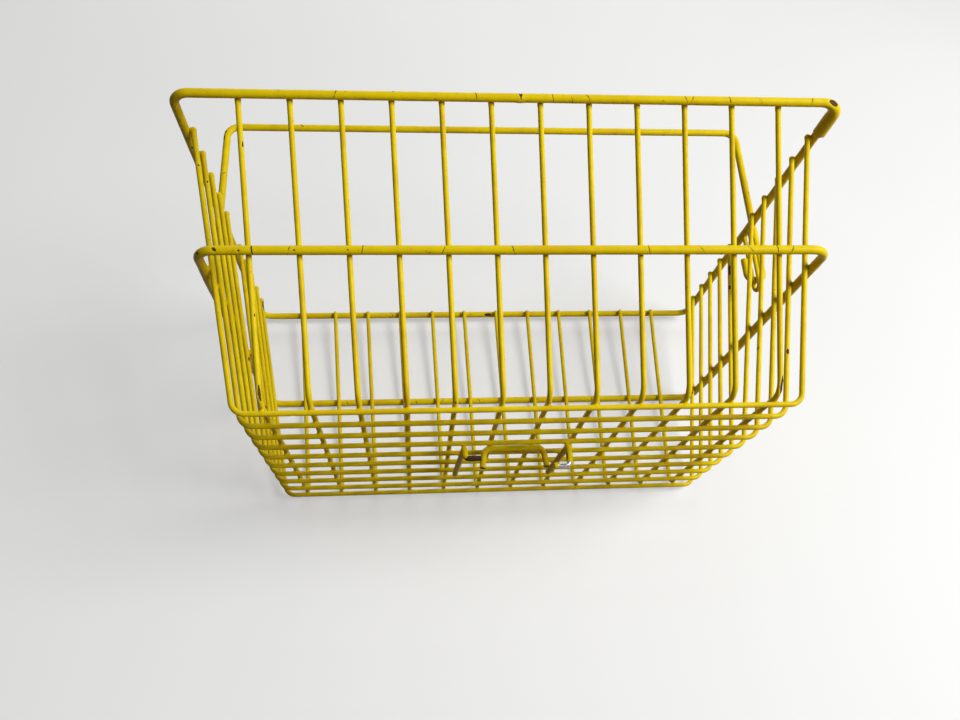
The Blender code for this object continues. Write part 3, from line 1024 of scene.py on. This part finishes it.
def wear_mesh(wear):
    # Bends between the floor and the walls, and the cross wires' legs
    bend_w = mesh_half_width(CROSS_LAYER)
    wear.chip("cross_wire_12", (0.1455, 0.008, 0.1078), (0.6, -0.5, 1), 0.0100, 0.0024)
    wear.chip("cross_wire_01", (-0.1455, 0.008, 0.1078), (0.5, -0.5, 1), 0.0090, 0.0018)
    wear.chip("cross_wire_01", (-0.1494, 0.051, 0.1167), (0.8, 0, 0.6), 0.0022, 0.0014)
    wear.chip("cross_wire_01", (-0.158, 0.148, 0.139), (0.8, 0, 0.5), 0.0040, 0.0014)
    wear.chip("cross_wire_05", (-0.040, 0.004, bend_w - 0.004), OUTSIDE_UP, 0.0018, 0.0014)

    # Right end wall
    wear.chip("long_wire_05", (0.1882, 0.152, -0.0213), (-0.6, -0.4, 0.8), 0.0110, 0.0022)
    wear.chip("long_wire_05", (0.1853, 0.136, -0.0202), (-0.6, -0.4, 0.8), 0.0040, 0.0018)
    wear.chip("long_wire_09", (0.1677, 0.040, 0.0803), (-0.2, -0.4, 1), 0.0034, 0.0020)
    wear.chip("long_wire_01", (0.1751, 0.080, -0.1061), (-0.6, -0.4, 0.8), 0.0030, 0.0016)
    wear.chip("long_wire_07", (0.172, 0.060, 0.045), (-1, -0.5, 0.4), 0.0022, 0.0014)

    # Left end wall
    wear.chip("long_wire_01", (-0.1915, 0.169, -0.1142), (1, -0.2, 0.4), 0.0100, 0.0036)
    wear.chip("long_wire_10", (-0.1881, 0.151, 0.1125), (0.3, -0.4, 1), 0.0016, 0.0012)
    wear.chip("long_wire_09", (-0.1890, 0.155, 0.0900), (0.5, -0.4, 1), 0.0018, 0.0012)
    wear.chip("long_wire_04", (-0.170, 0.050, -0.035), (1, -0.5, 0.6), 0.0034, 0.0018)
    wear.chip("long_wire_06", (-0.173, 0.066, 0.020), (1, -0.5, 0.6), 0.0030, 0.0018)

    # Scratches along the outermost wire of the floor
    scratches = ((-0.156, 0.0240, 0.0009), (-0.046, 0.0160, 0.0009), (-0.128, 0.0050, 0.0010))
    for u, length, width in scratches:
        wear.chip("long_wire_10", (u, 0, 0.099), (0, -1, -0.3), length, width, 0, 0.6)


def wear_handle(wear):
    """The left leg and shoulder are the worn ones."""
    top = RIM_DEPTH + HANDLE_RISE_ABOVE_RIM
    wear.chip("carry_handle", (-LEG_PLACE, top - 0.006, 0), (-0.7, 0, 0.8), 0.0022, 0.0020)
    wear.chip("carry_handle", (-LEG_PLACE, top - 0.012, 0), (-0.9, 0, 0.6), 0.0044, 0.0018)
    wear.chip("carry_handle", (-LEG_PLACE, 0.2200, 0), (-1, 0, 0.4), 0.0070, 0.0018)
    wear.chip("carry_handle", (-LEG_PLACE, 0.2060, 0), (0, -0.2, 1), 0.0006, 0.0050, -0.7, 0.6)
    wear.chip("carry_handle", (-LEG_PLACE, 0.2245, 0), (0.2, 0, 1), 0.0006, 0.0056, 0.8, 0.6)
    wear.chip("carry_handle", (-0.147, 0.269, 0), (0, 0.4, 1), 0.0010, 0.0048, 0.8, 0.6)


def wear_bracket(wear):
    """The left tongue, the right bend and all cut ends are bare."""
    foot, head, _, tongue = hook_corners(-1)
    shank = (head[0], RACK_LAYER, HOOK_HEAD - 0.012)
    wear.chip("rack_hook_left", tongue, (0, -1, 0.4), 0.0190, ALL_ROUND, 0, 0.6)
    wear.chip("rack_hook_left", foot, (0, -1, 0), 0.0050, ALL_ROUND, 0, 0.4)
    wear.chip("rack_hook_left", shank, (0.3, -1, 0), 0.0020, 0.0016)
    foot, head, bend, _ = hook_corners(1)
    root = (bend[0] - 0.0030, bend[1], bend[2])
    riser = (head[0], bend[1] + 0.006, HOOK_HEAD)
    wear.chip("rack_hook_right", root, (0, -1, 0.4), 0.0085, ALL_ROUND, 0, 0.6, rubbed=True)
    wear.chip("rack_hook_right", foot, (0, -1, 0), 0.0050, ALL_ROUND, 0, 0.4)
    wear.chip("rack_hook_right", riser, (-1, 0, 0.5), 0.0045, 0.0014)
    prong = STAPLE_WIDTH / 2 + STAPLE_SPLAY
    for side in (-1, 1):
        end = (BRACKET_SHIFT + side * prong, STAPLE_LAYER - STAPLE_DROP, STAPLE_PLACE)
        wear.chip("rack_staple", end, (0, 0, 1), 0.0016, ALL_ROUND, 0, 0.4)
    bar = (0.0125, STAPLE_LAYER, STAPLE_PLACE)
    wear.chip("rack_staple", bar, (0, 0.3, 1), 0.0016, 0.0006, 0, 0.6)


def add_wear(wires):
    """The damage that the photograph shows, where it shows it, and a little more out of sight."""
    wear = Wear(wires)
    wear_rim(wear)
    wear_belt(wear)
    wear_mesh(wear)
    wear_handle(wear)
    wear_bracket(wear)


def dress(wire, materials):
    mesh = wire_mesh(wire)
    mesh.materials.append(materials[wire.slot])
    piece = bpy.data.objects.new(mesh.name, mesh)
    bpy.context.scene.collection.objects.link(piece)
    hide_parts(wire.node)
    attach(piece, wire.body)


# Floor, light and camera

def build_stage():
    half = FLOOR_HALF
    corners = [(-half, -half, 0), (half, -half, 0), (half, half, 0), (-half, half, 0)]
    mesh = bpy.data.meshes.new("studio_floor")
    mesh.from_pydata(corners, [], [(0, 1, 2, 3)])
    mesh.materials.append(floor_material())
    floor = bpy.data.objects.new("studio_floor", mesh)
    floor.location.z = -FLOOR_DROP
    bpy.context.scene.collection.objects.link(floor)


def add_softbox(name, place, size, power):
    """A soft lamp that looks at the middle of the basket."""
    data = bpy.data.lights.new(name, "AREA")
    data.shape = "RECTANGLE"
    data.size, data.size_y = size
    data.energy = power
    lamp = bpy.data.objects.new(name, data)
    lamp.location = place
    aim = BASKET_MIDDLE - Vector(place)
    lamp.rotation_euler = aim.to_track_quat("-Z", "Y").to_euler()
    bpy.context.scene.collection.objects.link(lamp)


def light_scene():
    add_softbox("ceiling_panel", place=(1.0, -0.40, 1.40), size=(0.9, 0.7), power=28.5)
    add_softbox("window_panel", place=(1.6, -0.2, 0.7), size=(0.4, 0.9), power=6.0)
    add_softbox("back_fill", place=(0.0, 1.7, 0.9), size=(1.2, 0.8), power=12.0)
    world = bpy.data.worlds.new("studio")
    world.use_nodes = True
    background = world.node_tree.nodes["Background"]

    # White where it is seen, and weak where it only throws light on the basket
    nodes = Nodes(world.node_tree)
    nodes.set(background, "Color", (1.0, 1.0, 1.0, 1))
    nodes.set(background, "Strength", nodes.between(seen_rays(nodes), SKY_LIGHT, SKY_SEEN))
    bpy.context.scene.world = world


def place_camera():
    data = bpy.data.cameras.new("photo_camera")
    data.sensor_width = SENSOR_WIDTH_MM
    data.lens = SENSOR_WIDTH_MM * PHOTO_FOCAL_PIXELS / PHOTO_WIDTH
    camera = bpy.data.objects.new("photo_camera", data)
    forward = CAMERA_FORWARD.normalized()
    right = (CAMERA_RIGHT - forward * CAMERA_RIGHT.dot(forward)).normalized()
    turn = Matrix((right, right.cross(forward), -forward)).transposed()
    camera.matrix_world = AXES @ Matrix.Translation(CAMERA_PLACE) @ turn.to_4x4()
    bpy.context.scene.collection.objects.link(camera)
    bpy.context.scene.camera = camera


AXES = own_axes()
BODIES = frame["record"]["behaviour"]["bodies"]

wires = all_wires()
for wire in wires:
    wire.body = body_of_node(wire.node)
find_contacts(wires)
add_wear(wires)

materials = {
    "coated_frame_wire": coating("frame_coating", crack_share=0.40, soil=0.12, specular=0.07),
    "coated_mesh_wire": coating("mesh_coating", crack_share=0.22, soil=0.18, specular=0.07),
    "coated_handle_wire": coating("handle_coating", crack_share=0.34, soil=0.18, specular=0.07),
    "coated_rack_rod": coating("staple_coating", crack_share=0.30, soil=0.22, specular=0.06),
    "worn_rack_rod": coating("hook_coating", crack_share=0.34, soil=0.22, specular=0.01),
}
for wire in wires:
    dress(wire, materials)

build_stage()
light_scene()
place_camera()
bpy.context.scene.view_settings.view_transform = "Standard"
